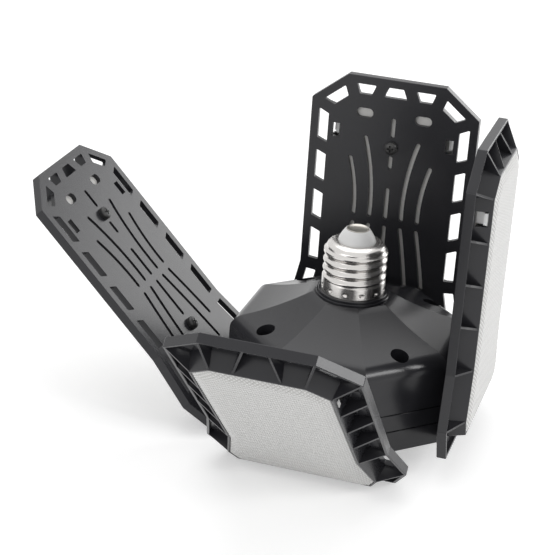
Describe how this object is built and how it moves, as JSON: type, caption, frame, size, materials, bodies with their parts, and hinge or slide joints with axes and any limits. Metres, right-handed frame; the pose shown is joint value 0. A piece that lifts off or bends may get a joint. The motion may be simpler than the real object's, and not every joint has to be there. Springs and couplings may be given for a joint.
{
  "type": "foldable garage light",
  "caption": "Foldable LED garage ceiling light: black octagonal housing on a screw cap, with hinged panels that each carry a ribbed frame and a white diffuser.",
  "frame": {"origin": "centre of the screw cap's skirt edge, where the cap meets the neck of the housing", "axes": "+Z along the cap away from the housing, +X towards the right panel, -Y towards the front panel"},
  "size_m": [0.1941, 0.1948, 0.1352],
  "materials": {
    "black_plastic": "satin",
    "diffuser_white": "translucent",
    "cap_nickel": "polished",
    "insulator_white": "gloss",
    "contact_steel": "brushed",
    "screw_black": "satin",
    "pin_steel": "brushed",
    "board_aluminium": "satin",
    "led_yellow": "gloss",
    "driver_board_green": "satin",
    "transformer_yellow": "satin",
    "component_black": "matte"
  },
  "bodies": {
    "housing": {"cap_shell": "cap_nickel", "cap_insulator": "insulator_white", "cap_contact": "contact_steel", "upper_housing": "black_plastic", "middle_housing": "black_plastic", "base_cover": "black_plastic", "housing_screws": "screw_black", "driver_board": "driver_board_green", "transformer": "transformer_yellow", "filter_capacitor": "component_black", "rectifier": "component_black", "centre_lens": "diffuser_white", "centre_led_board": "board_aluminium", "centre_leds": "led_yellow", "hinge_pin_front": "pin_steel", "hinge_pin_right": "pin_steel", "hinge_pin_back": "pin_steel", "hinge_pin_left": "pin_steel"},
    "panel_front": {"panel_frame_front": "black_plastic", "panel_lens_front": "diffuser_white", "led_board_front": "board_aluminium", "led_chips_front": "led_yellow", "board_screws_front": "screw_black"},
    "panel_right": {"panel_frame_right": "black_plastic", "panel_lens_right": "diffuser_white", "led_board_right": "board_aluminium", "led_chips_right": "led_yellow", "board_screws_right": "screw_black"},
    "panel_back": {"panel_frame_back": "black_plastic", "panel_lens_back": "diffuser_white", "led_board_back": "board_aluminium", "led_chips_back": "led_yellow", "board_screws_back": "screw_black"},
    "panel_left": {"panel_frame_left": "black_plastic", "panel_lens_left": "diffuser_white", "led_board_left": "board_aluminium", "led_chips_left": "led_yellow", "board_screws_left": "screw_black"}
  },
  "joints": [
    {"name": "fold_front", "type": "hinge", "parent": "housing", "child": "panel_front", "pos_m": [0, -0.039, -0.0484], "axis": [-1, 0, 0], "range_deg": [-45.5, 44.5]},
    {"name": "fold_right", "type": "hinge", "parent": "housing", "child": "panel_right", "pos_m": [0.039, 0, -0.0484], "axis": [0, -1, 0], "range_deg": [-90, 0]},
    {"name": "fold_back", "type": "hinge", "parent": "housing", "child": "panel_back", "pos_m": [0, 0.039, -0.0484], "axis": [1, 0, 0], "range_deg": [-90, 0]},
    {"name": "fold_left", "type": "hinge", "parent": "housing", "child": "panel_left", "pos_m": [-0.039, 0, -0.0484], "axis": [0, 1, 0], "range_deg": [-46, 44]}
  ]
}
